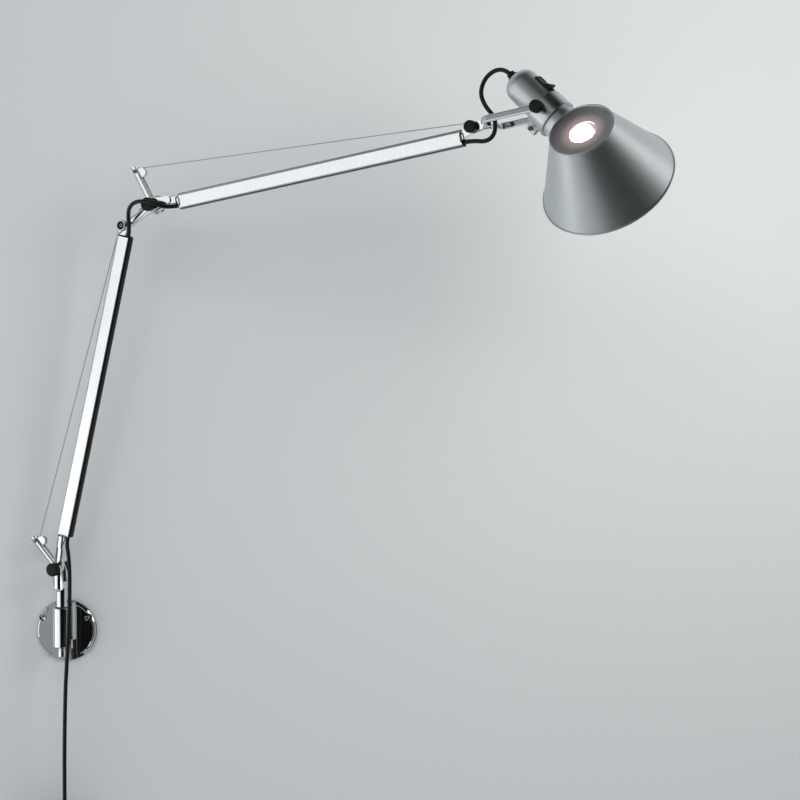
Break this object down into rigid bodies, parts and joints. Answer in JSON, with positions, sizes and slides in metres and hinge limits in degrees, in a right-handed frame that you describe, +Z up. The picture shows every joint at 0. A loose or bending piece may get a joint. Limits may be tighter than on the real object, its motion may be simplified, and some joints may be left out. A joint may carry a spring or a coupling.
{
  "type": "articulating wall lamp",
  "caption": "Wall lamp with two spring-balanced tube arms on a swivelling stem, a forked tilting head and a turning conical metal shade; cord and plug included.",
  "frame": {"origin": "centre of the wall plate's back face, on the wall", "axes": "+Z up, +Y into the wall, +X to the right when the wall is looked at"},
  "size_m": [0.8645, 0.4768, 1.1155],
  "materials": {
    "polished": "polished",
    "dark_steel": "darkened, smooth",
    "black_plastic": "satin",
    "bearing_plastic": "matt",
    "cable": "smooth, slightly glossy",
    "steel_wire": "bright",
    "satin_aluminium": "satin anodised",
    "brushed_aluminium": "brushed",
    "opal_glass": "opal",
    "bulb_metal": "pressed"
  },
  "bodies": {
    "wall_bracket": {"back_plate": "polished", "cover_plate": "polished", "barrel": "polished", "barrel_bushes": "bearing_plastic", "base_cord_lower": "cable", "hanging_cord": "cable", "cord_coil": "cable", "plug": "black_plastic"},
    "stem": {"stem": "polished", "retaining_collar": "polished", "lower_strut": "polished", "lower_wire_anchor": "polished", "lower_strut_screw": "dark_steel", "base_bolt": "black_plastic", "base_cord_upper": "cable"},
    "base_knob": {"base_knob": "black_plastic"},
    "lower_arm": {"lower_tube": "polished", "lower_bottom_fitting": "polished", "lower_top_fitting": "polished", "lower_spring": "steel_wire", "upper_strut": "polished", "upper_wire_anchor": "polished", "upper_strut_screw": "dark_steel", "elbow_bolt": "polished", "elbow_washers": "bearing_plastic", "lower_wire": "steel_wire", "lower_tube_cord": "cable", "elbow_cord": "cable"},
    "lower_roller": {"lower_roller": "dark_steel"},
    "elbow_knob": {"elbow_knob": "black_plastic"},
    "upper_arm": {"upper_tube": "polished", "upper_elbow_fitting": "polished", "upper_end_fitting": "polished", "upper_spring": "steel_wire", "upper_wire": "steel_wire", "upper_tube_cord": "cable", "wrist_bolt": "polished", "wrist_cord": "cable"},
    "upper_roller": {"upper_roller": "bearing_plastic"},
    "wrist_knob": {"wrist_knob": "black_plastic"},
    "wrist": {"wrist_block": "polished", "wrist_screw": "dark_steel", "fork_cord": "cable"},
    "fork": {"fork": "polished", "head_cord": "cable"},
    "fork_knob_front": {"fork_knob_front": "black_plastic"},
    "fork_knob_rear": {"fork_knob_rear": "black_plastic"},
    "head": {"collar": "brushed_aluminium", "clamp_screw": "dark_steel", "housing": "satin_aluminium", "cable_gland": "black_plastic", "switch_bezel": "black_plastic", "lamp_holder": "bearing_plastic", "bulb_cap": "bulb_metal", "bulb_glass": "opal_glass"},
    "switch_rocker": {"switch_rocker": "black_plastic"},
    "shade": {"shade": "satin_aluminium", "neck_ring": "satin_aluminium", "top_disc": "satin_aluminium", "shade_handle": "steel_wire"}
  },
  "joints": [
    {"name": "swivel", "type": "hinge", "parent": "wall_bracket", "child": "stem", "pos_m": [0, -0.046, 0], "axis": [0, 0, 1], "range_deg": [-150, 25], "deforming": ["base_cord_lower"]},
    {"name": "base_knob_turn", "type": "hinge", "parent": "stem", "child": "base_knob", "pos_m": [-0.00401, -0.04396, 0.0915], "axis": [-0.454, -0.891, 0], "range_deg": [-180, 180]},
    {"name": "lower_arm_pivot", "type": "hinge", "parent": "stem", "child": "lower_arm", "pos_m": [-0.00401, -0.04396, 0.0915], "axis": [-0.454, -0.891, 0], "range_deg": [-56, 20], "deforming": ["lower_wire", "base_cord_upper"]},
    {"name": "lower_roller_spin", "type": "hinge", "parent": "lower_arm", "child": "lower_roller", "pos_m": [0.09582, -0.09482, 0.56568], "axis": [-0.454, -0.891, 0], "range_deg": [-200, 440]},
    {"name": "elbow_knob_turn", "type": "hinge", "parent": "lower_arm", "child": "elbow_knob", "pos_m": [0.13825, -0.11644, 0.59297], "axis": [-0.454, -0.891, 0], "range_deg": [-180, 180]},
    {"name": "elbow_pivot", "type": "hinge", "parent": "lower_arm", "child": "upper_arm", "pos_m": [0.13825, -0.11644, 0.59297], "axis": [-0.454, -0.891, 0], "range_deg": [-70, 50], "deforming": ["upper_wire", "elbow_cord"]},
    {"name": "upper_roller_spin", "type": "hinge", "parent": "upper_arm", "child": "upper_roller", "pos_m": [0.56321, -0.33297, 0.67958], "axis": [-0.454, -0.891, 0], "range_deg": [-360, 500]},
    {"name": "wrist_knob_turn", "type": "hinge", "parent": "upper_arm", "child": "wrist_knob", "pos_m": [0.56321, -0.33297, 0.67958], "axis": [-0.454, -0.891, 0], "range_deg": [-180, 180]},
    {"name": "wrist_pivot", "type": "hinge", "parent": "upper_arm", "child": "wrist", "pos_m": [0.56321, -0.33297, 0.67958], "axis": [-0.454, -0.891, 0], "range_deg": [-45, 45], "deforming": ["wrist_cord"]},
    {"name": "fork_swivel", "type": "hinge", "parent": "wrist", "child": "fork", "pos_m": [0.56321, -0.33297, 0.67958], "axis": [0.8788, -0.4478, 0.165], "range_deg": [-90, 90], "deforming": ["fork_cord"]},
    {"name": "head_tilt", "type": "hinge", "parent": "fork", "child": "head", "pos_m": [0.65197, -0.37819, 0.69625], "axis": [-0.4631, -0.8836, 0.0688], "range_deg": [-55, 35], "deforming": ["head_cord"]},
    {"name": "fork_knob_front_turn", "type": "hinge", "parent": "head", "child": "fork_knob_front", "pos_m": [0.65197, -0.37819, 0.69625], "axis": [-0.4631, -0.8836, 0.0688], "range_deg": [-180, 180]},
    {"name": "fork_knob_rear_turn", "type": "hinge", "parent": "head", "child": "fork_knob_rear", "pos_m": [0.65197, -0.37819, 0.69625], "axis": [-0.4631, -0.8836, 0.0688], "range_deg": [-180, 180]},
    {"name": "switch_rock", "type": "hinge", "parent": "head", "child": "switch_rocker", "pos_m": [0.64798, -0.37777, 0.72788], "axis": [0.5641, 0.8236, 0.06], "range_deg": [0, 12]},
    {"name": "shade_turn", "type": "hinge", "parent": "head", "child": "shade", "pos_m": [0.65197, -0.37819, 0.69625], "axis": [0.6317, -0.3836, -0.6737], "range_deg": [-160, 160]}
  ],
  "couplings": [
    {"joint": "lower_roller_spin", "follows": "lower_arm_pivot", "ratio": -7.4},
    {"joint": "upper_roller_spin", "follows": "elbow_pivot", "ratio": -6.8}
  ]
}
